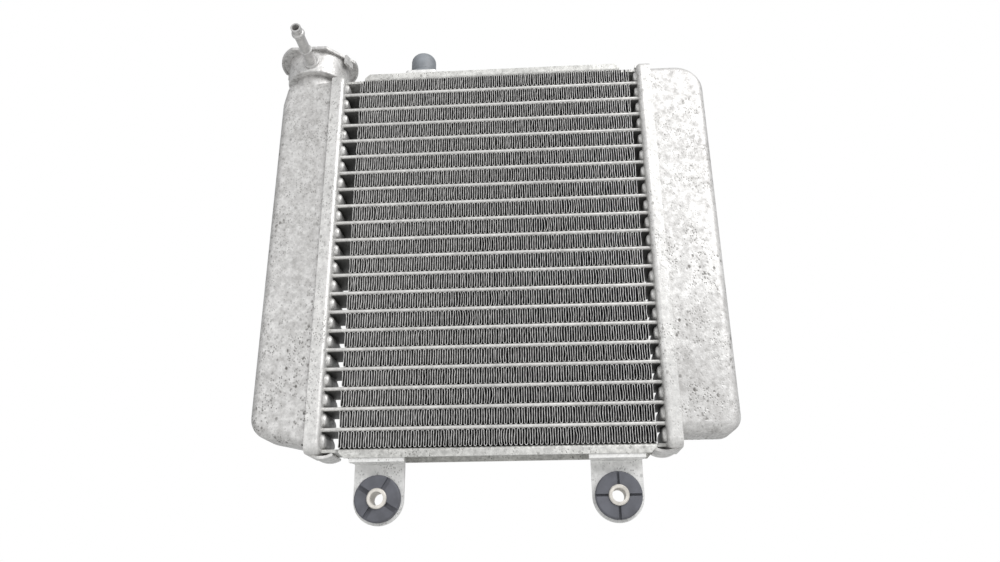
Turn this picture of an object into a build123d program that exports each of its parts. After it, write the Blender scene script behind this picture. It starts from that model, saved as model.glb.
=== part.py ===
from build123d import *
import os
from math import sqrt

# Cross-flow coolant radiator, brazed from aluminium. Millimetres.
# Origin: midpoint between the two lower mounting holes, on the core's middle plane.
# +X to the right seen from the front, -Y out of the front of the core, +Z up.

os.makedirs("parts", exist_ok=True)

LEFT = -1
RIGHT = 1
BOTTOM = -1
TOP = 1

# ---------------------------------------------------------------- driving dimensions

# Core
tube_count = 20
tube_pitch = 10.0
tube_height = 1.8
tube_depth = 22.0
tube_wall = 0.35
tube_projection = 1.5
fin_end_gap = 6.1
fin_waves = 63
fin_thickness = 0.2
fin_setback = 0.3
lowest_tube_z = 32.0

# Header plates
header_span = 164.6
header_shift = -2.0
header_wall = 1.2
header_side_margin = 3.5
header_rim = 7.2
header_end_margin = 1.5
header_corner_radius = 4.0
header_bend_radius = 2.2
dome_height = 1.8
dome_margin = 0.5
dome_end_margin = 0.5
dome_end_taper = 1.0
dome_crown = 0.6
tongue_thickness = 1.4
tongue_side_gap = 0.2
tongue_reach = 5.0
tongue_drop = 1.8
top_tab_height = 1.8
top_tab_reach = 0.4

# Side plates
side_plate_wall = 1.5
side_plate_height = 4.4
side_plate_setback = 0.8
side_plate_tongue_inset = 2.2
bottom_lip_end_gap = 6.8
top_lip_end_gap = 10.0
top_lip_shift = -1.3
lip_chamfer = 2.6

# Tanks
tank_wall = 2.0
tank_width = 34.4
tank_top_inset = 2.2
left_tank_toe = 2.0
left_tank_heel = 9.5
right_tank_rise = 6.5
tank_edge_radius = 5.0
left_bottom_radius = 11.0
left_top_radius = 5.6
left_top_lean = (2.6, 14.0)
right_bottom_radius = 8.0
right_top_radius = 15.0

# Filler neck and its overflow nipple
neck_setout = 17.9
neck_radius = 17.2
neck_wall = 1.5
neck_height = 15.5
neck_floor = 2.0
neck_lift = 3.2
spigot_radius = 13.0
throat_radius = 10.4
cap_flange_overhang = 5.0
cap_flange_thickness = 1.1
cap_flange_flat_overhang = 1.7
cap_flange_flat_angles = (-90.0, -42.0, 90.0, 138.0)
cap_lip_width = 1.2
cap_lip_height = 1.6
stop_tab_angles = (-20.0, 160.0)
stop_tab_overhang = 3.4
stop_tab_width = 6.6
stop_tab_thickness = 1.5
stop_tab_height = 5.5
neck_sleeve_wall = 1.2
neck_sleeve_length = 6.0
nipple_height = 6.4
nipple_bore_radius = 2.0
nipple_root_radius = 2.5
nipple_ring_radius = 4.4
nipple_ring_width = 0.9
nipple_shank_radius = 2.8
nipple_step_radius = 3.5
nipple_step_width = 1.0
nipple_step_distance = 11.0
nipple_bead_radius = 3.6
nipple_bead_width = 3.0
nipple_bead_distance = 25.0
nipple_length = 30.0

# Hose pipes on the back of the tanks
pipe_setout = 17.9
pipe_radius = 9.0
pipe_wall = 1.4
pipe_length = 30.0
pipe_bead_radius = 10.2
pipe_bead_width = 3.0
pipe_bead_distance = 24.0
pipe_foot_radius = 11.5
pipe_foot_width = 2.0
pipe_edge_chamfer = 0.4
inlet_pipe_drop = 29.3
outlet_pipe_rise = 31.5

# Lower brackets, grommets and collars
hole_spacing = 114.0
bracket_width = 24.4
bracket_sheet = 2.0
bracket_bend_radius = 3.0
bracket_foot_setback = 0.6
bracket_foot_width = 26.6
bracket_foot_flare = 4.0
bracket_hole_radius = 7.0
weld_spot_radius = 1.6
weld_spot_height = 0.3
weld_spot_spacing = 7.0
grommet_radius = 11.0
grommet_disc = 4.0
grommet_edge_radius = 0.9
groove_depth = 1.3
left_groove_width = 2.2
left_groove_angle = 58.0
right_groove_width = 1.2
right_groove_angle = 0.0
collar_radius = 4.8
collar_bore_radius = 3.2
collar_length = 12.0
collar_chamfer = 0.4

# Upper mount
upper_mount_x = -41.5
upper_plate_width = 18.0
upper_plate_setback = 0.2
upper_plate_thickness = 2.0
upper_plate_corner = 2.5
pin_radius = 3.0
pin_height = 12.0
pin_tenon_radius = 2.0
pin_rivet_radius = 3.5
pin_rivet_height = 1.0
pin_chamfer = 0.5
bush_radius = 7.1
bush_height = 16.0
bush_foot_radius = 9.2
bush_foot_height = 1.5
bush_flare_height = 4.5
bush_dome_radius = 5.0

# Clearances
braze_gap = 0.02
slot_gap = 0.05
tank_gap = 0.1
rubber_gap = 0.05

# ---------------------------------------------------------------- derived places

highest_tube_z = lowest_tube_z + (tube_count - 1) * tube_pitch
tube_levels = [lowest_tube_z + i * tube_pitch for i in range(tube_count)]
row_levels = [lowest_tube_z + (i - 0.5) * tube_pitch for i in range(tube_count + 1)]
fin_height = tube_pitch - tube_height - 2 * braze_gap
fin_depth = tube_depth - 2 * fin_setback
fin_length = header_span - 2 * fin_end_gap
row_reach = tube_pitch - tube_height / 2
header_bottom_z = lowest_tube_z - tube_pitch - header_end_margin
header_top_z = highest_tube_z + tube_pitch + header_end_margin
header_mid_z = (header_bottom_z + header_top_z) / 2
header_height = header_top_z - header_bottom_z
header_depth = tube_depth + 2 * header_side_margin
dome_length = tube_depth - 2 * dome_end_margin
tray_clearance = header_wall + tank_gap
tank_half_depth = header_depth / 2 - tray_clearance
tank_top_z = header_top_z - tank_top_inset
tank_inner_reach = header_span / 2 + tray_clearance
tank_reach = tank_inner_reach + tank_width
rim_length = header_rim - tray_clearance
tray_end_reach = header_span / 2 + header_rim
side_plate_depth = tube_depth - 2 * side_plate_setback
side_plate_tongue_depth = side_plate_depth - 2 * side_plate_tongue_inset
tongue_depth = side_plate_depth - 2 * (side_plate_wall + tongue_side_gap)
bottom_lip_length = header_span - 2 * bottom_lip_end_gap
top_lip_length = header_span - 2 * top_lip_end_gap
bottom_lip_z = lowest_tube_z - row_reach - side_plate_height
top_lip_z = highest_tube_z + row_reach + side_plate_height
neck_x = header_shift + LEFT * (tank_inner_reach + neck_setout)
neck_bottom_z = tank_top_z + neck_lift
neck_top_z = neck_bottom_z + neck_height
nipple_z = neck_bottom_z + nipple_height
cap_flange_radius = neck_radius + cap_flange_overhang
cap_flange_flat = neck_radius + cap_flange_flat_overhang
stop_tab_reach = neck_radius + stop_tab_overhang
pipe_offset = tank_inner_reach + pipe_setout
inlet_pipe_z = tank_top_z - inlet_pipe_drop
outlet_pipe_z = header_bottom_z + outlet_pipe_rise
bracket_top_z = bottom_lip_z
bracket_foot_reach = side_plate_depth / 2 - bracket_foot_setback
upper_plate_depth = side_plate_depth - 2 * upper_plate_setback


def header_face_x(side):
    """Core-facing plane of a header plate."""
    return header_shift + side * header_span / 2


def finish(piece, name):
    """Label a piece and write its file."""
    piece.label = name
    export_step(piece, f"parts/{name}.step", write_pcurves=False)


# ---------------------------------------------------------------- core tubes

tube_length = header_span + 2 * (header_wall + tube_projection)
for index, level in enumerate(tube_levels, start=1):
    with BuildPart() as tube:
        with BuildSketch(Plane.YZ.offset(header_shift - tube_length / 2)):
            with Locations((0, level)):
                SlotOverall(tube_depth, tube_height)
                SlotOverall(tube_depth - 2 * tube_wall, tube_height - 2 * tube_wall, mode=Mode.SUBTRACT)
        extrude(amount=tube_length)
    finish(tube.part, f"tube_{index:02d}")


# ---------------------------------------------------------------- corrugated fins

wave_pitch = fin_length / fin_waves
crest_radius = wave_pitch / 4
leg_top = fin_height / 2 - fin_thickness / 2 - crest_radius

with BuildSketch() as fin_wave:
    with BuildLine():
        fall_start = JernArc((-wave_pitch / 2, leg_top + crest_radius), (1, 0), crest_radius, -90)
        falling_leg = Line(fall_start @ 1, (-crest_radius, -leg_top))
        trough = JernArc(falling_leg @ 1, (0, -1), crest_radius, 180)
        rising_leg = Line(trough @ 1, (crest_radius, leg_top))
        JernArc(rising_leg @ 1, (0, 1), crest_radius, -90)
        offset(amount=fin_thickness / 2)
    make_face()

with BuildSketch() as fin_profile:
    with GridLocations(wave_pitch, 0, fin_waves, 1):
        add(fin_wave.sketch)

for index, level in enumerate(row_levels, start=1):
    with BuildPart() as fin:
        with BuildSketch(Plane.XZ.offset(fin_depth / 2)):
            with Locations((0, level)):
                add(fin_profile.sketch)
        extrude(amount=-fin_depth)
    finish(fin.part, f"fin_{index:02d}")


# ---------------------------------------------------------------- header plates

def dome(side, inset):
    """One pressed dome of a header plate, rising from the plane x = 0 towards the core."""
    width = tube_pitch - tube_height - 2 * dome_margin - 2 * inset
    length = dome_length - 2 * inset
    crown_inset = width / 2 - dome_crown
    with BuildPart() as shape:
        for share in (0.0, 0.5, 0.85, 1.0):
            narrowing = 2 * (1 - sqrt(1 - share**2))
            with BuildSketch(Plane.YZ.offset(-side * share * dome_height)):
                SlotOverall(length - dome_end_taper * narrowing, width - crown_inset * narrowing)
        loft()
    return shape.part


def header_plate(side):
    """A shallow tray with a dome between each pair of tube slots and a curled tongue below."""
    face_x = header_face_x(side)
    inner_x = face_x + side * header_wall
    tongue_z = header_bottom_z + header_wall / 2
    with BuildPart() as plate:
        with BuildSketch(Plane.YZ.offset(face_x)):
            with Locations((0, header_mid_z)):
                RectangleRounded(header_depth, header_height, header_corner_radius)
        extrude(amount=side * header_rim)
        core_face = plate.faces().sort_by(Axis.X)[0 if side == RIGHT else -1]
        fillet(core_face.edges(), radius=header_bend_radius)
        with Locations(*[(face_x, 0, level) for level in row_levels]):
            add(dome(side, 0))
        with BuildSketch(Plane.YZ.offset(inner_x)):
            with Locations((0, header_mid_z)):
                RectangleRounded(
                    header_depth - 2 * header_wall,
                    header_height - 2 * header_wall,
                    header_corner_radius - header_wall,
                )
        extrude(amount=side * (header_rim - header_wall), mode=Mode.SUBTRACT)
        with Locations(*[(inner_x, 0, level) for level in row_levels]):
            add(dome(side, header_wall), mode=Mode.SUBTRACT)
        with BuildSketch(Plane.YZ.offset(inner_x)):
            with Locations(*[(0, level) for level in tube_levels]):
                SlotOverall(tube_depth + 2 * slot_gap, tube_height + 2 * slot_gap)
        extrude(amount=-side * (header_wall + dome_height), mode=Mode.SUBTRACT)
        with BuildSketch(Plane.XZ):
            with BuildLine():
                ThreePointArc(
                    (face_x + side * (header_rim - tongue_thickness), tongue_z),
                    (face_x - side * tongue_reach / 3, tongue_z - tongue_drop),
                    (face_x - side * tongue_reach, tongue_z - tongue_thickness / 2),
                )
                offset(amount=tongue_thickness / 2)
            make_face()
        extrude(amount=tongue_depth / 2, both=True)
        if side == RIGHT:
            with BuildSketch(Plane.XY.offset(header_top_z)):
                with Locations((face_x + side * (header_rim - top_tab_reach) / 2, 0)):
                    Rectangle(header_rim + top_tab_reach, tongue_depth)
            extrude(amount=top_tab_height)
            fillet(plate.faces().sort_by(Axis.Z)[-1].edges(), radius=top_tab_height / 2)
    return plate.part


finish(header_plate(LEFT), "left_header")
finish(header_plate(RIGHT), "right_header")


# ---------------------------------------------------------------- side plates

def side_plate(end, lip_length, lip_shift):
    """A channel along the outermost fin row, its lips outward, with a tongue to each header."""
    web_z = (lowest_tube_z if end == BOTTOM else highest_tube_z) + end * row_reach
    lip_start = lip_shift - lip_length / 2
    lip_height = side_plate_height - side_plate_wall
    with BuildPart() as plate:
        with BuildSketch(Plane.YZ.offset(lip_start)) as channel:
            with Locations((0, web_z + end * side_plate_height / 2)):
                Rectangle(side_plate_depth, side_plate_height)
            web_corners = channel.vertices().group_by(Axis.Y)[0 if end == TOP else -1]
            fillet(web_corners, radius=side_plate_wall)
            with Locations((0, web_z + end * (side_plate_wall + lip_height / 2))):
                Rectangle(side_plate_depth - 2 * side_plate_wall, lip_height, mode=Mode.SUBTRACT)
        extrude(amount=lip_length)
        lip_tips = plate.edges().filter_by(Axis.Y).group_by(Axis.Z)[0 if end == BOTTOM else -1]
        chamfer(lip_tips, length=lip_chamfer)
        with BuildSketch(Plane.XY.offset(web_z)):
            with Locations((header_shift, 0)):
                Rectangle(header_span - 2 * slot_gap, side_plate_tongue_depth)
        extrude(amount=end * side_plate_wall)
    return plate.part


finish(side_plate(BOTTOM, bottom_lip_length, 0), "bottom_side_plate")
finish(side_plate(TOP, top_lip_length, top_lip_shift), "top_side_plate")


# ---------------------------------------------------------------- end tanks

def tank_outline(side):
    """Corners of a tank seen from the front, as (distance out, height, corner radius)."""
    if side == LEFT:
        lean, drop = left_top_lean
        return [
            (tank_inner_reach, header_bottom_z + left_tank_toe, 0),
            (tank_reach, header_bottom_z + left_tank_heel, left_bottom_radius),
            (tank_reach, tank_top_z - drop, left_top_radius),
            (tank_reach - lean, tank_top_z, left_top_radius),
            (tank_inner_reach, tank_top_z, 0),
        ]
    return [
        (tank_inner_reach, header_bottom_z + right_tank_rise, 0),
        (tank_reach, header_bottom_z + right_tank_rise, right_bottom_radius),
        (tank_reach, tank_top_z, right_top_radius),
        (tank_inner_reach, tank_top_z, 0),
    ]


def tank_block(side, inset):
    """The rounded block of a tank's outside, or of its cavity when it is inset by the wall."""
    corners = tank_outline(side)
    points = [(header_shift + side * out, level) for out, level, radius in corners]
    with BuildPart() as block:
        with BuildSketch(Plane.XZ):
            with BuildLine():
                FilletPolyline(*points, radius=[radius for out, level, radius in corners], close=True)
            make_face()
            if inset > 0:
                offset(amount=-inset)
        extrude(amount=tank_half_depth - inset, both=True)
        front_and_back = block.faces().filter_by(Axis.Y).edges().sort_by(SortBy.LENGTH)
        header_edges = front_and_back.filter_by(Axis.Z).group_by(Axis.X)[0 if side == RIGHT else -1]
        fillet(front_and_back - header_edges, radius=tank_edge_radius - inset)
    return block.part


def tank(side, pipe_z):
    """A hollow tank, open towards the core, its rim seated inside the header's tray."""
    inner_x = header_shift + side * tank_inner_reach
    pipe_x = header_shift + side * pipe_offset
    rim_height = header_height - 2 * tray_clearance
    rim_corner = header_corner_radius - tray_clearance
    with BuildPart() as shell:
        add(tank_block(side, 0))
        with BuildSketch(Plane.YZ.offset(inner_x)):
            with Locations((0, header_mid_z)):
                RectangleRounded(2 * tank_half_depth, rim_height, rim_corner)
        extrude(amount=side * rim_length)
        if side == LEFT:
            with BuildSketch(Plane.XY.offset(neck_bottom_z)):
                with Locations((neck_x, 0)):
                    Circle(spigot_radius)
                with Locations((header_shift - tray_end_reach - tank_gap, 0)):
                    flat_align = (Align.MIN, Align.CENTER)
                    Rectangle(spigot_radius, 2 * spigot_radius, align=flat_align, mode=Mode.SUBTRACT)
            extrude(amount=-(neck_lift + tank_edge_radius))
        add(tank_block(side, tank_wall), mode=Mode.SUBTRACT)
        with BuildSketch(Plane.YZ.offset(inner_x)):
            with Locations((0, header_mid_z)):
                Rectangle(2 * (tank_half_depth - tank_wall), rim_height - 2 * tank_wall)
        extrude(amount=side * (rim_length - tank_wall), mode=Mode.SUBTRACT)
        mouth_bottom = tank_outline(side)[0][1] + tank_wall
        mouth_top = tank_top_z - tank_wall
        with BuildSketch(Plane.YZ.offset(inner_x)):
            with Locations((0, (mouth_bottom + mouth_top) / 2)):
                Rectangle(2 * (tank_half_depth - tank_wall), mouth_top - mouth_bottom)
        extrude(amount=side * (rim_length + tank_wall), mode=Mode.SUBTRACT)
        if side == LEFT:
            with BuildSketch(Plane.XY.offset(neck_bottom_z)):
                with Locations((neck_x, 0)):
                    Circle(throat_radius)
            extrude(amount=-(neck_lift + tank_wall + tank_edge_radius), mode=Mode.SUBTRACT)
        with BuildSketch(Plane.XZ.offset(-tank_half_depth)):
            with Locations((pipe_x, pipe_z)):
                Circle(pipe_radius + slot_gap)
        extrude(amount=2 * tank_wall, mode=Mode.SUBTRACT)
    return shell.part


finish(tank(LEFT, inlet_pipe_z), "left_tank")
finish(tank(RIGHT, outlet_pipe_z), "right_tank")


# ---------------------------------------------------------------- filler neck

with BuildPart() as filler_neck:
    with BuildSketch(Plane.XY.offset(neck_bottom_z)):
        with Locations((neck_x, 0)):
            Circle(neck_radius)
    extrude(amount=neck_height)
    fillet(filler_neck.edges().sort_by(Axis.Z)[0], radius=neck_wall / 2)
    with BuildSketch(Plane.XY.offset(neck_top_z)):
        with Locations((neck_x, 0)):
            Circle(cap_flange_radius)
            for flat_angle in cap_flange_flat_angles:
                with PolarLocations(cap_flange_flat + cap_flange_radius, 1, start_angle=flat_angle):
                    Rectangle(2 * cap_flange_radius, 3 * cap_flange_radius, mode=Mode.SUBTRACT)
    extrude(amount=-cap_lip_height)
    with BuildSketch(Plane.XY.offset(neck_top_z - cap_flange_thickness)):
        with Locations((neck_x, 0)):
            Circle(cap_flange_radius - cap_lip_width)
            for flat_angle in cap_flange_flat_angles:
                inner_flat = cap_flange_flat - cap_lip_width + cap_flange_radius
                with PolarLocations(inner_flat, 1, start_angle=flat_angle):
                    Rectangle(2 * cap_flange_radius, 3 * cap_flange_radius, mode=Mode.SUBTRACT)
            Circle(neck_radius, mode=Mode.SUBTRACT)
    extrude(amount=-cap_lip_height, mode=Mode.SUBTRACT)
    with BuildSketch(Plane.XY.offset(neck_top_z)):
        with Locations((neck_x, 0)):
            for tab_angle in stop_tab_angles:
                with PolarLocations(stop_tab_reach - stop_tab_thickness / 2, 1, start_angle=tab_angle):
                    Rectangle(stop_tab_thickness, stop_tab_width)
    extrude(amount=-stop_tab_height)
    with BuildSketch(Plane.XY.offset(neck_bottom_z + neck_floor)):
        with Locations((neck_x, 0)):
            Circle(neck_radius - neck_wall)
    extrude(amount=neck_height, mode=Mode.SUBTRACT)
    with BuildSketch(Plane.XY.offset(neck_bottom_z)):
        with Locations((neck_x, 0)):
            Circle(throat_radius - slot_gap)
    extrude(amount=-neck_sleeve_length)
    with BuildSketch(Plane.XY.offset(neck_bottom_z - neck_sleeve_length)):
        with Locations((neck_x, 0)):
            Circle(throat_radius - slot_gap - neck_sleeve_wall)
    extrude(amount=neck_height, mode=Mode.SUBTRACT)
    with BuildSketch(Plane.XZ.offset(neck_radius - 2 * neck_wall)):
        with Locations((neck_x, nipple_z)):
            Circle(nipple_root_radius + slot_gap)
    extrude(amount=3 * neck_wall, mode=Mode.SUBTRACT)
finish(filler_neck.part, "filler_neck")


# ---------------------------------------------------------------- overflow nipple

with BuildPart() as overflow_nipple:
    with BuildSketch(Plane.XZ.offset(neck_radius - neck_wall)):
        with Locations((neck_x, nipple_z)):
            Circle(nipple_ring_radius)
    extrude(amount=neck_wall + nipple_ring_width)
    fillet(overflow_nipple.edges().sort_by(Axis.Y)[0], radius=nipple_ring_width / 2)
    with BuildSketch(Plane.XY.offset(nipple_z - nipple_ring_radius)):
        with Locations((neck_x, 0)):
            Circle(neck_radius + braze_gap)
    extrude(amount=2 * nipple_ring_radius, mode=Mode.SUBTRACT)
    with BuildSketch(Plane.XZ.offset(neck_radius - neck_wall)):
        with Locations((neck_x, nipple_z)):
            Circle(nipple_root_radius)
    extrude(amount=2 * neck_wall)
    with BuildSketch(Plane.XZ.offset(neck_radius)):
        with Locations((neck_x, nipple_z)):
            Circle(nipple_shank_radius)
    extrude(amount=nipple_length)
    with BuildSketch(Plane.XZ.offset(neck_radius + nipple_step_distance - nipple_step_width / 2)):
        with Locations((neck_x, nipple_z)):
            Circle(nipple_step_radius)
    extrude(amount=nipple_step_width)
    step_edges = overflow_nipple.edges().filter_by(GeomType.CIRCLE)
    step_rims = step_edges.filter_by(lambda edge: edge.radius == nipple_step_radius)
    fillet(step_rims, radius=nipple_step_width / 3)
    with BuildSketch(Plane.YZ.offset(neck_x)):
        bead_y = -neck_radius - nipple_bead_distance
        with BuildLine():
            bead_base = Line(
                (bead_y - nipple_bead_width / 2, nipple_z + nipple_shank_radius / 2),
                (bead_y + nipple_bead_width / 2, nipple_z + nipple_shank_radius / 2),
            )
            bead_rise = Line(bead_base @ 1, (bead_y + nipple_bead_width / 2, nipple_z + nipple_shank_radius))
            bead_arc = ThreePointArc(
                bead_rise @ 1,
                (bead_y, nipple_z + nipple_bead_radius),
                (bead_y - nipple_bead_width / 2, nipple_z + nipple_shank_radius),
            )
            Line(bead_arc @ 1, bead_base @ 0)
        make_face()
    revolve(axis=Axis((neck_x, 0, nipple_z), (0, 1, 0)))
    with BuildSketch(Plane.XZ.offset(neck_radius - neck_wall)):
        with Locations((neck_x, nipple_z)):
            Circle(nipple_bore_radius)
    extrude(amount=neck_wall + nipple_length, mode=Mode.SUBTRACT)
finish(overflow_nipple.part, "overflow_nipple")


# ---------------------------------------------------------------- hose pipes

def hose_pipe(side, level):
    """A beaded pipe through the back wall of a tank, its foot ring flat against the wall."""
    pipe_x = header_shift + side * pipe_offset
    bead_y = tank_half_depth + pipe_bead_distance
    with BuildPart() as pipe:
        with BuildSketch(Plane.XZ.offset(tank_wall - tank_half_depth)):
            with Locations((pipe_x, level)):
                Circle(pipe_radius)
        extrude(amount=-(tank_wall + pipe_length))
        chamfer(pipe.edges().sort_by(Axis.Y)[-1], length=pipe_edge_chamfer)
        with BuildSketch(Plane.XZ.offset(-tank_half_depth)):
            with Locations((pipe_x, level)):
                Circle(pipe_foot_radius)
        extrude(amount=-pipe_foot_width)
        foot_edges = pipe.edges().filter_by(GeomType.CIRCLE).sort_by(Axis.Y)
        foot_rim = foot_edges.filter_by(lambda edge: edge.radius == pipe_foot_radius)[-1]
        fillet(foot_rim, radius=pipe_foot_width / 2)
        with BuildSketch(Plane.YZ.offset(pipe_x)):
            with BuildLine():
                bead_base = Line(
                    (bead_y - pipe_bead_width / 2, level + pipe_radius / 2),
                    (bead_y + pipe_bead_width / 2, level + pipe_radius / 2),
                )
                bead_rise = Line(bead_base @ 1, (bead_y + pipe_bead_width / 2, level + pipe_radius))
                bead_arc = ThreePointArc(
                    bead_rise @ 1,
                    (bead_y, level + pipe_bead_radius),
                    (bead_y - pipe_bead_width / 2, level + pipe_radius),
                )
                Line(bead_arc @ 1, bead_base @ 0)
            make_face()
        revolve(axis=Axis((pipe_x, 0, level), (0, 1, 0)))
        with BuildSketch(Plane.XZ.offset(tank_wall - tank_half_depth)):
            with Locations((pipe_x, level)):
                Circle(pipe_radius - pipe_wall)
        extrude(amount=-(tank_wall + pipe_length), mode=Mode.SUBTRACT)
    return pipe.part


finish(hose_pipe(LEFT, inlet_pipe_z), "inlet_pipe")
finish(hose_pipe(RIGHT, outlet_pipe_z), "outlet_pipe")


# ---------------------------------------------------------------- lower brackets

def lower_bracket(side):
    """A bent sheet bracket hung from the front lip, with a round end about its hole."""
    hole_x = side * hole_spacing / 2
    leg_back = bracket_sheet / 2
    leg_front = leg_back - bracket_sheet
    foot_bottom_z = bracket_top_z - bracket_sheet
    with BuildPart() as bracket:
        with BuildSketch(Plane.YZ.offset(hole_x - bracket_width / 2)) as profile:
            with BuildLine():
                Polyline(
                    (-bracket_foot_reach, bracket_top_z),
                    (leg_back, bracket_top_z),
                    (leg_back, 0),
                    (leg_front, 0),
                    (leg_front, foot_bottom_z),
                    (-bracket_foot_reach, foot_bottom_z),
                    close=True,
                )
            make_face()
            outer_bend = profile.vertices().group_by(Axis.Y)[-1].sort_by(Axis.X)[-1]
            fillet(outer_bend, radius=bracket_bend_radius)
            inner_bend = profile.vertices().sort_by_distance((leg_front, foot_bottom_z))[0]
            fillet(inner_bend, radius=bracket_bend_radius - bracket_sheet)
        extrude(amount=bracket_width)
        with BuildSketch(Plane.XZ.offset(-leg_back)):
            with Locations((hole_x, 0)):
                Circle(bracket_width / 2)
        extrude(amount=bracket_sheet)
        with BuildSketch(Plane.XY.offset(bracket_top_z)):
            with Locations((hole_x, bracket_foot_flare / 2 - bracket_foot_reach)):
                Rectangle(bracket_foot_width, bracket_foot_flare)
        extrude(amount=-bracket_sheet)
        with BuildSketch(Plane.XY.offset(foot_bottom_z)):
            with Locations((hole_x, -bracket_foot_reach / 2)):
                with GridLocations(weld_spot_spacing, 0, 3, 1):
                    Circle(weld_spot_radius)
        extrude(amount=-weld_spot_height)
        with BuildSketch(Plane.XZ.offset(-leg_back)):
            with Locations((hole_x, 0)):
                Circle(bracket_hole_radius)
        extrude(amount=bracket_sheet, mode=Mode.SUBTRACT)
    return bracket.part


finish(lower_bracket(LEFT), "left_bracket")
finish(lower_bracket(RIGHT), "right_bracket")


# ---------------------------------------------------------------- grommets and collars

def grommet(side, groove_width, groove_angle):
    """A rubber spool clipped in a bracket's hole, both faces cut by four grooves."""
    hole_x = side * hole_spacing / 2
    inner_face = bracket_sheet / 2 + rubber_gap
    outer_face = inner_face + grommet_disc
    with BuildPart() as spool:
        with BuildSketch(Plane.XZ.offset(-outer_face)):
            with Locations((hole_x, 0)):
                Circle(grommet_radius)
        extrude(amount=2 * outer_face)
        face_rims = spool.edges().filter_by(GeomType.CIRCLE)
        fillet(face_rims, radius=grommet_edge_radius)
        with BuildSketch(Plane.XZ.offset(-inner_face)):
            with Locations((hole_x, 0)):
                Circle(grommet_radius)
                Circle(bracket_hole_radius - rubber_gap, mode=Mode.SUBTRACT)
        extrude(amount=2 * inner_face, mode=Mode.SUBTRACT)
        for face in (-1, 1):
            with BuildSketch(Plane.XZ.offset(face * (outer_face - groove_depth))):
                with Locations((hole_x, 0)):
                    with PolarLocations(0, 2, start_angle=groove_angle, angular_range=180):
                        Rectangle(2 * grommet_radius, groove_width)
            extrude(amount=face * groove_depth, mode=Mode.SUBTRACT)
        with BuildSketch(Plane.XZ.offset(-outer_face)):
            with Locations((hole_x, 0)):
                Circle(collar_radius + rubber_gap)
        extrude(amount=2 * outer_face, mode=Mode.SUBTRACT)
    return spool.part


def collar(side):
    """A metal tube through a grommet, which takes the mounting screw."""
    hole_x = side * hole_spacing / 2
    with BuildPart() as tube:
        with BuildSketch(Plane.XZ.offset(-collar_length / 2)):
            with Locations((hole_x, 0)):
                Circle(collar_radius)
                Circle(collar_bore_radius, mode=Mode.SUBTRACT)
        extrude(amount=collar_length)
        rims = tube.edges().filter_by(GeomType.CIRCLE)
        chamfer(rims.filter_by(lambda edge: edge.radius == collar_radius), length=collar_chamfer)
    return tube.part


finish(grommet(LEFT, left_groove_width, left_groove_angle), "left_grommet")
finish(grommet(RIGHT, right_groove_width, right_groove_angle), "right_grommet")
finish(collar(LEFT), "left_collar")
finish(collar(RIGHT), "right_collar")


# ---------------------------------------------------------------- upper mount

upper_plate_top_z = top_lip_z + upper_plate_thickness
bush_top_z = upper_plate_top_z + bush_height

with BuildPart() as upper_mount_bracket:
    with BuildSketch(Plane.XY.offset(top_lip_z)):
        with Locations((upper_mount_x, 0)):
            RectangleRounded(upper_plate_width, upper_plate_depth, upper_plate_corner)
            Circle(pin_tenon_radius + slot_gap, mode=Mode.SUBTRACT)
    extrude(amount=upper_plate_thickness)
finish(upper_mount_bracket.part, "upper_mount_bracket")

with BuildPart() as upper_mount_pin:
    with BuildSketch(Plane.XY.offset(upper_plate_top_z)):
        with Locations((upper_mount_x, 0)):
            Circle(pin_radius)
    extrude(amount=pin_height)
    chamfer(upper_mount_pin.edges().sort_by(Axis.Z)[-1], length=pin_chamfer)
    with BuildSketch(Plane.XY.offset(top_lip_z)):
        with Locations((upper_mount_x, 0)):
            Circle(pin_tenon_radius)
    extrude(amount=upper_plate_thickness)
    with BuildSketch(Plane.XY.offset(top_lip_z)):
        with Locations((upper_mount_x, 0)):
            Circle(pin_rivet_radius)
    extrude(amount=-pin_rivet_height)
finish(upper_mount_pin.part, "upper_mount_pin")

with BuildPart() as upper_mount_bush:
    with BuildSketch(Plane.XZ):
        with BuildLine():
            foot_base = Line((0, upper_plate_top_z), (bush_foot_radius, upper_plate_top_z))
            foot_rim = Line(foot_base @ 1, (bush_foot_radius, upper_plate_top_z + bush_foot_height))
            flare_end = (bush_radius, upper_plate_top_z + bush_flare_height)
            flare = TangentArc(foot_rim @ 1, flare_end, tangent=(-1, 0))
            body = Line(flare @ 1, (bush_radius, bush_top_z - bush_dome_radius))
            dome_arc = JernArc(body @ 1, (0, 1), bush_dome_radius, 90)
            crown = Line(dome_arc @ 1, (0, bush_top_z))
            Line(crown @ 1, foot_base @ 0)
        make_face()
    revolve(axis=Axis.Z)
    with BuildSketch(Plane.XY.offset(upper_plate_top_z)):
        Circle(pin_radius + rubber_gap)
    extrude(amount=pin_height + rubber_gap, mode=Mode.SUBTRACT)
finish(upper_mount_bush.part.moved(Location((upper_mount_x, 0, 0))), "upper_mount_bush")
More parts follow.
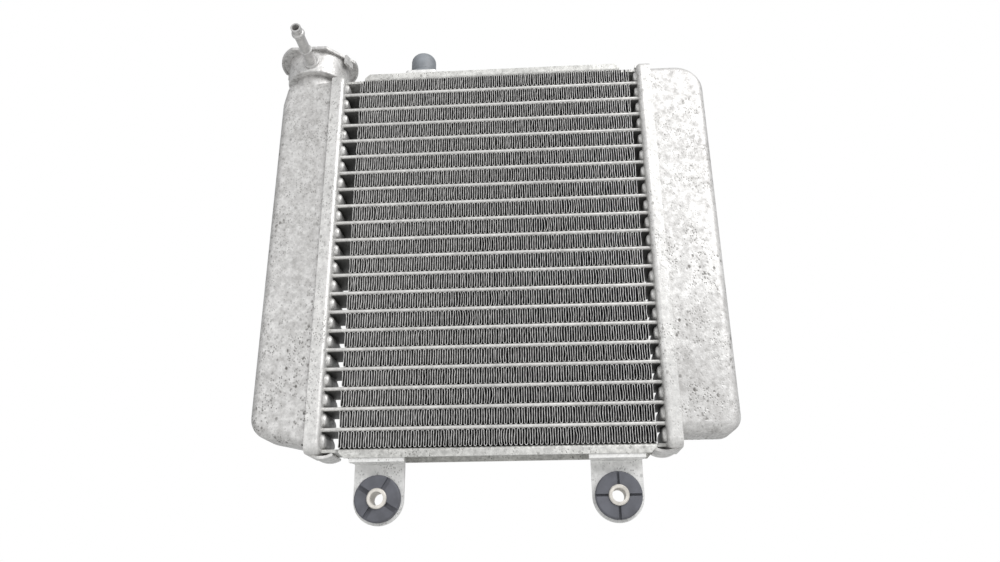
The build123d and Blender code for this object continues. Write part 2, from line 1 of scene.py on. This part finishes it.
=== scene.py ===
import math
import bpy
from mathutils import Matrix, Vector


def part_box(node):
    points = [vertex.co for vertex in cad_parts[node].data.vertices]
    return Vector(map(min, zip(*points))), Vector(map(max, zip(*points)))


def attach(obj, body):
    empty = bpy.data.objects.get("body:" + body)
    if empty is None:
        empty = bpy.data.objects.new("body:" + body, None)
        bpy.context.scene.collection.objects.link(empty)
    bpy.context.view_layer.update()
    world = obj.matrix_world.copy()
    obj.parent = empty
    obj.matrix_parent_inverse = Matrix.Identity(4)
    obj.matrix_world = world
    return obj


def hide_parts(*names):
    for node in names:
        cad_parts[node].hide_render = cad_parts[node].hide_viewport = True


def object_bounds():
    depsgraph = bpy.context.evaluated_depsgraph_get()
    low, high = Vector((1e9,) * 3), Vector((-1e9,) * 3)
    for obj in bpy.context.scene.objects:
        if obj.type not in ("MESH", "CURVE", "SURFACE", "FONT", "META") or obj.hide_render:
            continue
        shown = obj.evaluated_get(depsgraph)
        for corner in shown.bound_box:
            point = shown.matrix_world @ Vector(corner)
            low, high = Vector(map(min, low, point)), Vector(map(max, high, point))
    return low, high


bl_info = {
    "name": "Coolant radiator",
    "version": (1, 0, 0),
    "blender": (4, 5, 0),
    "location": "3D View > Sidebar > Radiator",
    "description": "Finishes a cross-flow coolant radiator around its packed CAD frame",
    "category": "Object",
}

import bpy
import numpy as np
from bpy.props import FloatProperty, FloatVectorProperty, IntProperty, PointerProperty
from mathutils import Matrix, Vector

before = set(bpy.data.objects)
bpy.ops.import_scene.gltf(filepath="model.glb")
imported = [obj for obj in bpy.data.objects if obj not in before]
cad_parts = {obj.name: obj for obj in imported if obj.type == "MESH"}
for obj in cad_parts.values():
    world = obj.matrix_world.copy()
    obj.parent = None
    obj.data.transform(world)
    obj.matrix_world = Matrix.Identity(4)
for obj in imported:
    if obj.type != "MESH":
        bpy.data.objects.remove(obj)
cad_low, cad_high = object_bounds()

BODY = "root"
MM = 0.001

# A fold's arc, how much its radius varies, and the largest radius as a share of the folds' pitch.
FOLD_ANGLES = np.radians([-90, -50, 0, 50, 90])
FOLD_SPREAD = 0.06
FOLD_LIMIT = 0.28
# Shares of the way along a leg, each with how free the leg is to bend there.
LEG_STATIONS = ((0.15, 0.75), (0.5, 1.0), (0.85, 0.75))
# Cross-sections from the front edge, -1, to the back edge, 1.
DEPTH_SHARES = np.array([-1.0, -0.82, -0.42, 0.0, 0.42, 0.82, 1.0])
# The sweep fades out this close to a strip's ends.
SWEEP_RUN_IN = 4 * MM
DENT_WIDTHS_MM = (1.5, 5.0)
SHARP_ANGLE = math.radians(50)

SENSOR_WIDTH = 36.0
FOCAL_LENGTH = 28.44
CAMERA_PLACE = Vector((24.75 * MM, -386.33 * MM, -37.81 * MM))
CAMERA_RIGHT = Vector((0.99805, 0.06177, -0.00881))
CAMERA_UP = Vector((0.03027, -0.35594, 0.93402))
KEY_PLACE = Vector((0.62, -0.72, 0.80))
KEY_SIDE = 0.8
FILL_PLACE = Vector((-0.60, -0.80, 0.25))
FILL_SIDE = 0.9
FLOOR_REACH = 3.0
WHITE = (1.0, 1.0, 1.0, 1.0)
GLOW = (0.97, 0.985, 1.0, 1.0)
FLOOR_TINTS = ((0.80, 0.80, 0.79, 1.0), (0.86, 0.86, 0.85, 1.0))

TUBES = [name for name in sorted(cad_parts) if name.startswith("tube_")]
FINS = [name for name in sorted(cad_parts) if name.startswith("fin_")]
HEADERS = ["left_header", "right_header"]
SIDE_PLATES = ["top_side_plate", "bottom_side_plate"]
TANKS = ["left_tank", "right_tank"]
BRACKETS = ["left_bracket", "right_bracket"]
GROMMETS = ["left_grommet", "right_grommet"]
COLLARS = ["left_collar", "right_collar"]
HOSE_PIPES = ["inlet_pipe", "outlet_pipe"]


# ---------------------------------------------------------------- sizes and colours

class FinSizes(bpy.types.PropertyGroup):
    """Sizes of the corrugated fin strips."""

    waves: IntProperty(
        name="Waves", description="Folds along one fin strip", default=63, min=4
    )
    sheet: FloatProperty(
        name="Sheet", description="Thickness of the fin strip", default=0.24 * MM, unit="LENGTH"
    )
    crest_wander: FloatProperty(
        name="Crest wander", description="How far a fold strays along the tube", default=0.05 * MM, unit="LENGTH"
    )
    leg_bend: FloatProperty(
        name="Leg bend", description="How far a leg bows at the open edges", default=0.11 * MM, unit="LENGTH"
    )
    sweep: FloatProperty(
        name="Sweep", description="How far every leg bows sideways at mid depth", default=1.15 * MM, unit="LENGTH"
    )
    dents: IntProperty(
        name="Dents", description="Knocked places along one strip", default=2, min=0
    )
    dent_push: FloatProperty(
        name="Dent push", description="How far a knock pushes the open edge", default=0.34 * MM, unit="LENGTH"
    )
    seed: IntProperty(name="Seed", description="Seed of the irregular folds", default=11)


class Finishes(bpy.types.PropertyGroup):
    """Colours of the radiator's materials."""

    tank: FloatVectorProperty(
        name="Tank", description="Clean tank metal", subtype="COLOR", size=3, default=(0.67, 0.66, 0.65)
    )
    tank_stain: FloatVectorProperty(
        name="Tank stain", description="Oxidised tank metal", subtype="COLOR", size=3, default=(0.44, 0.43, 0.42)
    )
    header: FloatVectorProperty(
        name="Header", description="Header sheet", subtype="COLOR", size=3, default=(0.74, 0.73, 0.715)
    )
    plate: FloatVectorProperty(
        name="Side plate", description="Side plate sheet", subtype="COLOR", size=3, default=(0.68, 0.675, 0.65)
    )
    tube: FloatVectorProperty(
        name="Tube", description="Flat tubes", subtype="COLOR", size=3, default=(0.72, 0.71, 0.69)
    )
    fin_edge: FloatVectorProperty(
        name="Fin edge", description="Bare edge of the fin strip", subtype="COLOR", size=3,
        default=(0.60, 0.59, 0.58),
    )
    # Painted shade: a dark colour for the fin faces that stands in for the shade deep in the core.
    fin_face_shade: FloatVectorProperty(
        name="Fin face", description="Dusty face of the fin strip", subtype="COLOR", size=3,
        default=(0.115, 0.115, 0.11),
    )
    bracket: FloatVectorProperty(
        name="Bracket", description="Bracket sheet", subtype="COLOR", size=3, default=(0.86, 0.855, 0.84)
    )
    grommet: FloatVectorProperty(
        name="Grommet", description="Grommet rubber", subtype="COLOR", size=3, default=(0.105, 0.108, 0.125)
    )
    bush: FloatVectorProperty(
        name="Bush", description="Bush rubber", subtype="COLOR", size=3, default=(0.23, 0.245, 0.265)
    )
    collar: FloatVectorProperty(
        name="Collar", description="Plated collar", subtype="COLOR", size=3, default=(0.82, 0.78, 0.72)
    )
    grime: FloatVectorProperty(
        name="Grime", description="Pits and dirt", subtype="COLOR", size=3, default=(0.085, 0.08, 0.07)
    )


class StageSizes(bpy.types.PropertyGroup):
    """Camera, light and floor."""

    floor_drop: FloatProperty(
        name="Floor drop", description="Floor below the lowest point", default=0.26, unit="LENGTH"
    )
    key_power: FloatProperty(name="Key power", description="Power of the key light in watts", default=12.6)
    fill_power: FloatProperty(name="Fill power", description="Power of the fill light in watts", default=2.0)
    ambient: FloatProperty(name="Ambient", description="Strength of the surrounding light", default=0.42)


# ---------------------------------------------------------------- material building

class Graph:
    """A material's node tree, with short calls for the nodes used here."""

    def __init__(self, name):
        self.material = bpy.data.materials.new(name)
        self.material.use_nodes = True
        self.tree = self.material.node_tree
        self.shader = self.tree.nodes["Principled BSDF"]
        self.place = self.add("ShaderNodeTexCoord").outputs["Object"]

    def add(self, kind, **settings):
        node = self.tree.nodes.new(kind)
        for key, value in settings.items():
            setattr(node, key, value)
        return node

    def put(self, socket, value):
        if isinstance(value, bpy.types.NodeSocket):
            self.tree.links.new(value, socket)
        else:
            socket.default_value = value

    def stretch(self, scale):
        node = self.add("ShaderNodeMapping")
        self.put(node.inputs["Vector"], self.place)
        node.inputs["Scale"].default_value = scale
        return node.outputs["Vector"]

    def noise(self, scale, detail=4.0, roughness=0.5, vector=None):
        node = self.add("ShaderNodeTexNoise")
        self.put(node.inputs["Vector"], vector or self.place)
        node.inputs["Scale"].default_value = scale
        node.inputs["Detail"].default_value = detail
        node.inputs["Roughness"].default_value = roughness
        return node.outputs["Fac"]

    def cells(self, scale, vector):
        node = self.add("ShaderNodeTexVoronoi")
        self.put(node.inputs["Vector"], vector)
        node.inputs["Scale"].default_value = scale
        return node.outputs["Distance"]

    def ramp(self, value, low, high, start=0.0, end=1.0):
        node = self.add("ShaderNodeMapRange")
        self.put(node.inputs["Value"], value)
        node.inputs["From Min"].default_value = low
        node.inputs["From Max"].default_value = high
        node.inputs["To Min"].default_value = start
        node.inputs["To Max"].default_value = end
        return node.outputs["Result"]

    def math(self, operation, first, second):
        node = self.add("ShaderNodeMath", operation=operation)
        self.put(node.inputs[0], first)
        self.put(node.inputs[1], second)
        return node.outputs[0]

    def axis(self, letter):
        node = self.add("ShaderNodeSeparateXYZ")
        self.put(node.inputs[0], self.place)
        return node.outputs[letter]

    def blend(self, factor, first, second):
        node = self.add("ShaderNodeMix", data_type="RGBA")
        colours = [socket for socket in node.inputs if socket.type == "RGBA"]
        self.put(node.inputs["Factor"], factor)
        self.put(colours[0], first)
        self.put(colours[1], second)
        return [socket for socket in node.outputs if socket.type == "RGBA"][0]

    def bump(self, height, strength, distance):
        node = self.add("ShaderNodeBump")
        self.put(node.inputs["Height"], height)
        node.inputs["Strength"].default_value = strength
        node.inputs["Distance"].default_value = distance
        self.put(self.shader.inputs["Normal"], node.outputs["Normal"])

    def surface(self, colour, roughness, metallic):
        self.put(self.shader.inputs["Base Color"], colour)
        self.put(self.shader.inputs["Roughness"], roughness)
        self.shader.inputs["Metallic"].default_value = metallic


def solid(colour, lift=1.0):
    return (*[channel * lift for channel in colour], 1.0)


def oxidised(name, clean, stain, grime, pits, tiny, rough, bump, low=None, metallic=0.35, half_depth=None):
    """Pale aluminium with a fine oxide grain, pits and specks.

    low is a bottom, a top and the share of pits left at the top. Inside half_depth, away from the front and back
    edges, the metal is darkened as painted shade.
    """
    graph = Graph(name)
    cloud = graph.noise(26.0, 4.0, 0.55)
    mottle = graph.noise(330.0, 8.0, 0.72)
    grain = graph.noise(1500.0, 3.0, 0.6)
    mix = graph.math("ADD", graph.math("MULTIPLY", cloud, 0.3), graph.math("MULTIPLY", mottle, 0.7))
    colour = graph.blend(graph.ramp(mix, 0.38, 0.56), solid(stain), solid(clean))
    colour = graph.blend(graph.ramp(mix, 0.54, 0.64, 0.0, 0.6), colour, solid(clean, 1.25))
    crowd = graph.ramp(graph.noise(48.0, 3.0, 0.5), 0.40, 0.60)
    if low is not None:
        bottom, top, least = low
        crowd = graph.math("MULTIPLY", crowd, graph.ramp(graph.axis("Z"), bottom, top, 1.0, least))
    warp = graph.stretch((1.0, 1.0, 0.75))
    pit = graph.ramp(graph.cells(380.0, warp), 0.18, 0.36, 1.0, 0.0)
    pit = graph.math("MULTIPLY", pit, graph.ramp(graph.noise(240.0, 2.0), 0.47, 0.56))
    pit = graph.math("MULTIPLY", graph.math("MULTIPLY", pit, crowd), pits)
    speck = graph.ramp(graph.cells(900.0, warp), 0.20, 0.38, 1.0, 0.0)
    speck = graph.math("MULTIPLY", speck, graph.ramp(graph.noise(110.0, 4.0, 0.7), 0.45, 0.54))
    speck = graph.math("MULTIPLY", graph.math("MULTIPLY", speck, graph.ramp(crowd, 0.0, 1.0, 0.35, 1.0)), tiny)
    marks = graph.math("MAXIMUM", pit, speck)
    colour = graph.blend(marks, colour, solid(grime))
    # Painted shade: between the front and back edges the colour drops to the stain colour at 0.3, standing in for
    # the shade between the fins.
    if half_depth is not None:
        depth = graph.math("ABSOLUTE", graph.axis("Y"), 0.0)
        unshaded_edge = graph.ramp(depth, half_depth - 1.5 * MM, half_depth - 0.5 * MM)
        colour = graph.blend(unshaded_edge, solid(stain, 0.3), colour)
    graph.surface(colour, graph.ramp(mottle, 0.35, 0.65, rough[1], rough[0]), metallic)
    relief = graph.math("ADD", graph.math("MULTIPLY", mottle, 0.8), graph.math("MULTIPLY", grain, 0.25))
    relief = graph.math("SUBTRACT", relief, graph.math("MULTIPLY", marks, 0.8))
    graph.bump(relief, bump, 0.35 * MM)
    return graph.material


def fin_metal(edge, face, half_depth):
    """Thin strip: pale metal at its open edges, painted shade on its faces and in the louvre slits, with pressed
    louvres.
    """
    graph = Graph("fin_strip_aluminium")
    depth = graph.math("ABSOLUTE", graph.axis("Y"), 0.0)
    unshaded_edge = graph.ramp(depth, half_depth - 0.9 * MM, half_depth - 0.15 * MM)
    patch = graph.noise(90.0, 4.0, 0.6)
    # Painted shade: the faces get a dark colour with random lighter and darker patches.
    face_shade = graph.blend(graph.ramp(patch, 0.40, 0.62), solid(face, 0.6), solid(face, 1.9))
    louvre = graph.add("ShaderNodeTexWave", wave_type="BANDS", bands_direction="Y", wave_profile="SAW")
    graph.put(louvre.inputs["Vector"], graph.place)
    louvre.inputs["Scale"].default_value = 130.0
    # Painted shade in the louvre slits: at each slit the face colour is pulled towards a much darker tone.
    slit = graph.ramp(louvre.outputs["Fac"], 0.86, 0.93)
    face_shade = graph.blend(graph.math("MULTIPLY", slit, 0.75), face_shade, solid(face, 0.2))
    shine = graph.blend(graph.ramp(graph.noise(500.0, 3.0), 0.35, 0.65), solid(edge, 0.72), solid(edge, 1.25))
    graph.surface(graph.blend(unshaded_edge, face_shade, shine), 0.45, 0.25)
    graph.bump(louvre.outputs["Fac"], 0.5, 0.2 * MM)
    return graph.material


def rubber(name, colour, roughness=0.62):
    """Matt rubber with a faint bloom and moulding grain."""
    graph = Graph(name)
    bloom = graph.noise(130.0, 5.0, 0.6)
    grain = graph.noise(2200.0, 3.0, 0.6)
    tint = graph.blend(graph.ramp(bloom, 0.35, 0.68), solid(colour, 0.82), solid(colour, 1.22))
    graph.surface(tint, graph.ramp(bloom, 0.3, 0.7, roughness - 0.06, roughness + 0.1), 0.0)
    graph.bump(graph.math("ADD", grain, bloom), 0.2, 0.08 * MM)
    return graph.material


def plated(name, colour):
    """Zinc plate: pale, satin, with faint turning marks."""
    graph = Graph(name)
    haze = graph.noise(420.0, 5.0, 0.6)
    rings = graph.noise(900.0, 2.0, 0.5, graph.stretch((0.3, 2.5, 0.3)))
    tint = graph.blend(graph.ramp(haze, 0.35, 0.65), solid(colour, 0.84), solid(colour, 1.08))
    graph.surface(tint, graph.ramp(rings, 0.3, 0.7, 0.28, 0.46), 0.55)
    graph.bump(rings, 0.25, 0.05 * MM)
    return graph.material


def dress(names, material):
    """Gives carried-over CAD nodes their finish."""
    for name in names:
        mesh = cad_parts[name].data
        mesh.materials.clear()
        mesh.materials.append(material)


# ---------------------------------------------------------------- fin strips

def strip_path(low_x, high_x, low_z, high_z, sizes, chance):
    """Centre line of one strip as x and z, and how free each point is to bend, from 0 at a fold to 1."""
    pitch = (high_x - low_x) / sizes.waves
    count = 2 * sizes.waves + 1
    radius = pitch / 4 * (1 + FOLD_SPREAD * chance.standard_normal(count))
    radius = np.minimum(radius, pitch * FOLD_LIMIT)
    wander = sizes.crest_wander * chance.standard_normal(count)
    wander[0] = wander[-1] = 0
    crest_x = low_x + np.arange(count) * pitch / 2 + wander
    at_top = np.arange(count) % 2 == 0
    points, freedom = [], []
    for k in range(count):
        sign = 1 if at_top[k] else -1
        crest_z = high_z if at_top[k] else low_z
        r = radius[k]
        arc = FOLD_ANGLES
        if k == 0:
            arc = arc[2:]
        if k == count - 1:
            arc = arc[:3]
        for angle in arc:
            points.append((crest_x[k] + r * math.sin(angle), crest_z - sign * r * (1 - math.cos(angle))))
            freedom.append(0.0)
        if k < count - 1:
            r_next = radius[k + 1]
            start = np.array([crest_x[k] + r, crest_z - sign * r])
            other_z = low_z if at_top[k] else high_z
            end = np.array([crest_x[k + 1] - r_next, other_z + sign * r_next])
            for share, free in LEG_STATIONS:
                points.append(tuple(start + (end - start) * share))
                freedom.append(free)
    return np.array(points), np.array(freedom)


def fin_strip(name, sizes, chance):
    """One corrugated strip as a closed thin sheet, with bowed legs and a few knocks."""
    low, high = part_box(name)
    half = sizes.sheet / 2
    path, freedom = strip_path(low.x + half, high.x - half, low.z + half, high.z - half, sizes, chance)
    half_depth = (high.y - low.y) / 2
    stations = DEPTH_SHARES * half_depth + (high.y + low.y) / 2
    openness = np.abs(DEPTH_SHARES) ** 3
    clear = np.minimum(path[:, 0] - low.x, high.x - path[:, 0]) / SWEEP_RUN_IN
    sweep = sizes.sweep * np.clip(clear, 0.0, 1.0) * freedom
    bow_front = sizes.leg_bend * chance.standard_normal(len(path)) * freedom
    bow_back = sizes.leg_bend * chance.standard_normal(len(path)) * freedom
    for edge in (bow_front, bow_back):
        for _ in range(sizes.dents):
            centre = chance.uniform(low.x, high.x)
            width = chance.uniform(*DENT_WIDTHS_MM) * MM
            push = sizes.dent_push * chance.choice([-1, 1])
            edge += push * np.exp(-(((path[:, 0] - centre) / width) ** 2)) * freedom
    rings = []
    for y, share, open_share in zip(stations, DEPTH_SHARES, openness):
        bow = (bow_front if share < 0 else bow_back) * open_share + sweep * (1 - share**2)
        line = path + np.stack([bow, np.zeros(len(path))], axis=1)
        run = np.gradient(line, axis=0)
        run /= np.linalg.norm(run, axis=1)[:, None]
        side = np.stack([-run[:, 1], run[:, 0]], axis=1) * half
        loop = np.concatenate([line + side, (line - side)[::-1]])
        rings.append(np.stack([loop[:, 0], np.full(len(loop), y), loop[:, 1]], axis=1))
    around = len(rings[0])
    points = np.concatenate(rings)
    points[:, 2] = np.clip(points[:, 2], low.z, high.z)
    step = np.arange(around)
    after = (step + 1) % around
    quads = []
    for ring in range(len(rings) - 1):
        base, ahead = ring * around, (ring + 1) * around
        quads.append(np.stack([base + step, base + after, ahead + after, ahead + step], axis=1))
    inner = np.arange(len(path) - 1)
    mirror = around - 1 - inner
    front = np.stack([inner, mirror, mirror - 1, inner + 1], axis=1)
    last = (len(rings) - 1) * around
    back = np.stack([inner, inner + 1, mirror - 1, mirror], axis=1) + last
    faces = np.concatenate([*quads, front, back])
    mesh = bpy.data.meshes.new(name.replace("fin_", "fin_row_"))
    mesh.from_pydata(points.tolist(), [], faces.tolist())
    mesh.update()
    mesh.shade_smooth()
    mesh.set_sharp_from_angle(angle=SHARP_ANGLE)
    piece = bpy.data.objects.new(mesh.name, mesh)
    bpy.context.scene.collection.objects.link(piece)
    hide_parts(name)
    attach(piece, BODY)
    return mesh


# ---------------------------------------------------------------- operators

class RADIATOR_OT_fins(bpy.types.Operator):
    """Corrugated fin strips between the tubes"""

    bl_idname = "radiator.fins"
    bl_label = "Fin strips"

    def execute(self, context):
        sizes = context.scene.radiator_fins
        colours = context.scene.radiator_finishes
        low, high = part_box(FINS[0])
        material = fin_metal(colours.fin_edge, colours.fin_face_shade, (high.y - low.y) / 2)
        chance = np.random.default_rng(sizes.seed)
        for name in FINS:
            fin_strip(name, sizes, chance).materials.append(material)
        return {"FINISHED"}


class RADIATOR_OT_tubes(bpy.types.Operator):
    """Flat coolant tubes"""

    bl_idname = "radiator.tubes"
    bl_label = "Tubes"

    def execute(self, context):
        colours = context.scene.radiator_finishes
        low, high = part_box(TUBES[0])
        stain = solid(colours.tube, 0.72)[:3]
        # Inside reach the tube flats get painted shade.
        reach = (high.y - low.y) / 2
        material = oxidised(
            "tube_aluminium", colours.tube, stain, colours.grime, pits=0.15, tiny=0.3,
            rough=(0.36, 0.55), bump=0.3, half_depth=reach,
        )
        dress(TUBES, material)
        return {"FINISHED"}


class RADIATOR_OT_headers(bpy.types.Operator):
    """Pressed header plates and folded side plates"""

    bl_idname = "radiator.headers"
    bl_label = "Headers and side plates"

    def execute(self, context):
        colours = context.scene.radiator_finishes
        stain = solid(colours.header, 0.74)[:3]
        header = oxidised(
            "header_aluminium", colours.header, stain, colours.grime, pits=0.5, tiny=0.6,
            metallic=0.4, rough=(0.34, 0.52), bump=0.5,
        )
        stain = solid(colours.plate, 0.62)[:3]
        plate = oxidised(
            "side_plate_aluminium", colours.plate, stain, colours.grime, pits=0.6, tiny=0.7,
            metallic=0.3, rough=(0.4, 0.6), bump=0.7,
        )
        dress(HEADERS, header)
        dress(SIDE_PLATES, plate)
        return {"FINISHED"}


class RADIATOR_OT_tanks(bpy.types.Operator):
    """End tanks, mottled and pitted"""

    bl_idname = "radiator.tanks"
    bl_label = "End tanks"

    def execute(self, context):
        colours = context.scene.radiator_finishes
        low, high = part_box(TANKS[0])
        span = (low.z, high.z, 0.35)
        material = oxidised(
            "tank_aluminium", colours.tank, colours.tank_stain, colours.grime, pits=1.0, tiny=0.85,
            low=span, rough=(0.36, 0.58), bump=0.6,
        )
        dress(TANKS, material)
        return {"FINISHED"}


class RADIATOR_OT_neck(bpy.types.Operator):
    """Filler neck with its overflow nipple"""

    bl_idname = "radiator.neck"
    bl_label = "Filler neck"

    def execute(self, context):
        colours = context.scene.radiator_finishes
        clean = solid(colours.tank, 1.05)[:3]
        neck = oxidised(
            "neck_aluminium", clean, colours.tank_stain, colours.grime, pits=0.5, tiny=0.5,
            metallic=0.4, rough=(0.34, 0.54), bump=0.4,
        )
        clean = solid(colours.tank, 0.95)[:3]
        stain = solid(colours.tank, 0.75)[:3]
        nipple = oxidised(
            "nipple_aluminium", clean, stain, colours.grime, pits=0.1, tiny=0.1,
            metallic=0.5, rough=(0.3, 0.42), bump=0.12,
        )
        dress(["filler_neck"], neck)
        dress(["overflow_nipple"], nipple)
        return {"FINISHED"}


class RADIATOR_OT_hose_pipes(bpy.types.Operator):
    """Beaded inlet and outlet pipes"""

    bl_idname = "radiator.hose_pipes"
    bl_label = "Hose pipes"

    def execute(self, context):
        colours = context.scene.radiator_finishes
        stain = solid(colours.tank, 0.75)[:3]
        material = oxidised(
            "pipe_aluminium", colours.tank, stain, colours.grime, pits=0.2, tiny=0.2,
            metallic=0.45, rough=(0.3, 0.46), bump=0.2,
        )
        dress(HOSE_PIPES, material)
        return {"FINISHED"}


class RADIATOR_OT_brackets(bpy.types.Operator):
    """Lower brackets and the upper mounting plate"""

    bl_idname = "radiator.brackets"
    bl_label = "Brackets"

    def execute(self, context):
        colours = context.scene.radiator_finishes
        stain = solid(colours.bracket, 0.86)[:3]
        material = oxidised(
            "bracket_aluminium", colours.bracket, stain, colours.grime, pits=0.3, tiny=0.5,
            metallic=0.25, rough=(0.38, 0.55), bump=0.18,
        )
        dress(BRACKETS + ["upper_mount_bracket"], material)
        return {"FINISHED"}


class RADIATOR_OT_grommets(bpy.types.Operator):
    """Rubber grommets with their metal collars"""

    bl_idname = "radiator.grommets"
    bl_label = "Grommets and collars"

    def execute(self, context):
        colours = context.scene.radiator_finishes
        dress(GROMMETS, rubber("grommet_rubber", colours.grommet))
        dress(COLLARS, plated("collar_plate", colours.collar))
        return {"FINISHED"}


class RADIATOR_OT_upper_mount(bpy.types.Operator):
    """Upper pin and its rubber bush"""

    bl_idname = "radiator.upper_mount"
    bl_label = "Upper mount"

    def execute(self, context):
        colours = context.scene.radiator_finishes
        dress(["upper_mount_bush"], rubber("bush_rubber", colours.bush, 0.55))
        dress(["upper_mount_pin"], plated("pin_plate", colours.collar))
        return {"FINISHED"}


def soft_light(name, place, aim, side, power):
    """A square soft light that looks at a point."""
    lamp = bpy.data.lights.new(name, "AREA")
    lamp.shape = "SQUARE"
    lamp.size = side
    lamp.energy = power
    holder = bpy.data.objects.new(name, lamp)
    bpy.context.scene.collection.objects.link(holder)
    holder.location = place
    holder.rotation_euler = (aim - place).to_track_quat("-Z", "Y").to_euler()


class RADIATOR_OT_stage(bpy.types.Operator):
    """Camera, soft light and a plain pale floor"""

    bl_idname = "radiator.stage"
    bl_label = "Stage"

    def execute(self, context):
        sizes = context.scene.radiator_stage
        scene = context.scene
        scene.view_settings.view_transform = "Standard"
        lens = bpy.data.cameras.new("camera")
        lens.sensor_width = SENSOR_WIDTH
        lens.lens = FOCAL_LENGTH
        lens.clip_start = 0.01
        camera = bpy.data.objects.new("camera", lens)
        scene.collection.objects.link(camera)
        turn = Matrix((CAMERA_RIGHT, CAMERA_UP, CAMERA_RIGHT.cross(CAMERA_UP))).transposed()
        camera.matrix_world = Matrix.Translation(CAMERA_PLACE) @ turn.to_4x4()
        scene.camera = camera
        middle = (cad_low + cad_high) / 2
        soft_light("key", KEY_PLACE, middle, KEY_SIDE, sizes.key_power)
        soft_light("fill", FILL_PLACE, middle, FILL_SIDE, sizes.fill_power)

        world = bpy.data.worlds.new("surroundings")
        scene.world = world
        world.use_nodes = True
        tree = world.node_tree
        backdrop = tree.nodes["Background"]
        backdrop.inputs["Color"].default_value = WHITE
        backdrop.inputs["Strength"].default_value = 1.0
        glow = tree.nodes.new("ShaderNodeBackground")
        glow.inputs["Color"].default_value = GLOW
        glow.inputs["Strength"].default_value = sizes.ambient
        paths = tree.nodes.new("ShaderNodeLightPath")
        either = tree.nodes.new("ShaderNodeMixShader")
        tree.links.new(paths.outputs["Is Camera Ray"], either.inputs["Fac"])
        tree.links.new(glow.outputs[0], either.inputs[1])
        tree.links.new(backdrop.outputs[0], either.inputs[2])
        tree.links.new(either.outputs[0], tree.nodes["World Output"].inputs["Surface"])

        floor_z = cad_low.z - sizes.floor_drop
        mesh = bpy.data.meshes.new("floor")
        signs = [(-1, -1), (1, -1), (1, 1), (-1, 1)]
        mesh.from_pydata([(x * FLOOR_REACH, y * FLOOR_REACH, floor_z) for x, y in signs], [], [(0, 1, 2, 3)])
        floor = bpy.data.objects.new("floor", mesh)
        scene.collection.objects.link(floor)
        graph = Graph("floor_paint")
        tint = graph.blend(graph.noise(6.0, 3.0), *FLOOR_TINTS)
        graph.surface(tint, 0.7, 0.0)
        mesh.materials.append(graph.material)
        return {"FINISHED"}


# ---------------------------------------------------------------- panel and running

PIECES = (
    RADIATOR_OT_fins,
    RADIATOR_OT_tubes,
    RADIATOR_OT_headers,
    RADIATOR_OT_tanks,
    RADIATOR_OT_neck,
    RADIATOR_OT_hose_pipes,
    RADIATOR_OT_brackets,
    RADIATOR_OT_grommets,
    RADIATOR_OT_upper_mount,
    RADIATOR_OT_stage,
)
GROUPS = {"radiator_fins": FinSizes, "radiator_finishes": Finishes, "radiator_stage": StageSizes}


class RADIATOR_PT_sidebar(bpy.types.Panel):
    """Lists the radiator's pieces and their settings"""

    bl_label = "Radiator"
    bl_idname = "RADIATOR_PT_sidebar"
    bl_space_type = "VIEW_3D"
    bl_region_type = "UI"
    bl_category = "Radiator"

    def draw(self, context):
        for piece in PIECES:
            self.layout.operator(piece.bl_idname)
        for attribute in GROUPS:
            group = getattr(context.scene, attribute)
            box = self.layout.box()
            for name in group.bl_rna.properties.keys():
                if name not in ("name", "rna_type"):
                    box.prop(group, name)


def register():
    for kind in (*GROUPS.values(), *PIECES, RADIATOR_PT_sidebar):
        bpy.utils.register_class(kind)
    for attribute, kind in GROUPS.items():
        setattr(bpy.types.Scene, attribute, PointerProperty(type=kind))


def unregister():
    for attribute in GROUPS:
        delattr(bpy.types.Scene, attribute)
    for kind in reversed((*GROUPS.values(), *PIECES, RADIATOR_PT_sidebar)):
        bpy.utils.unregister_class(kind)


def main():
    register()
    for piece in PIECES:
        group, name = piece.bl_idname.split(".")
        getattr(getattr(bpy.ops, group), name)()


if __name__ == "__main__":
    main()
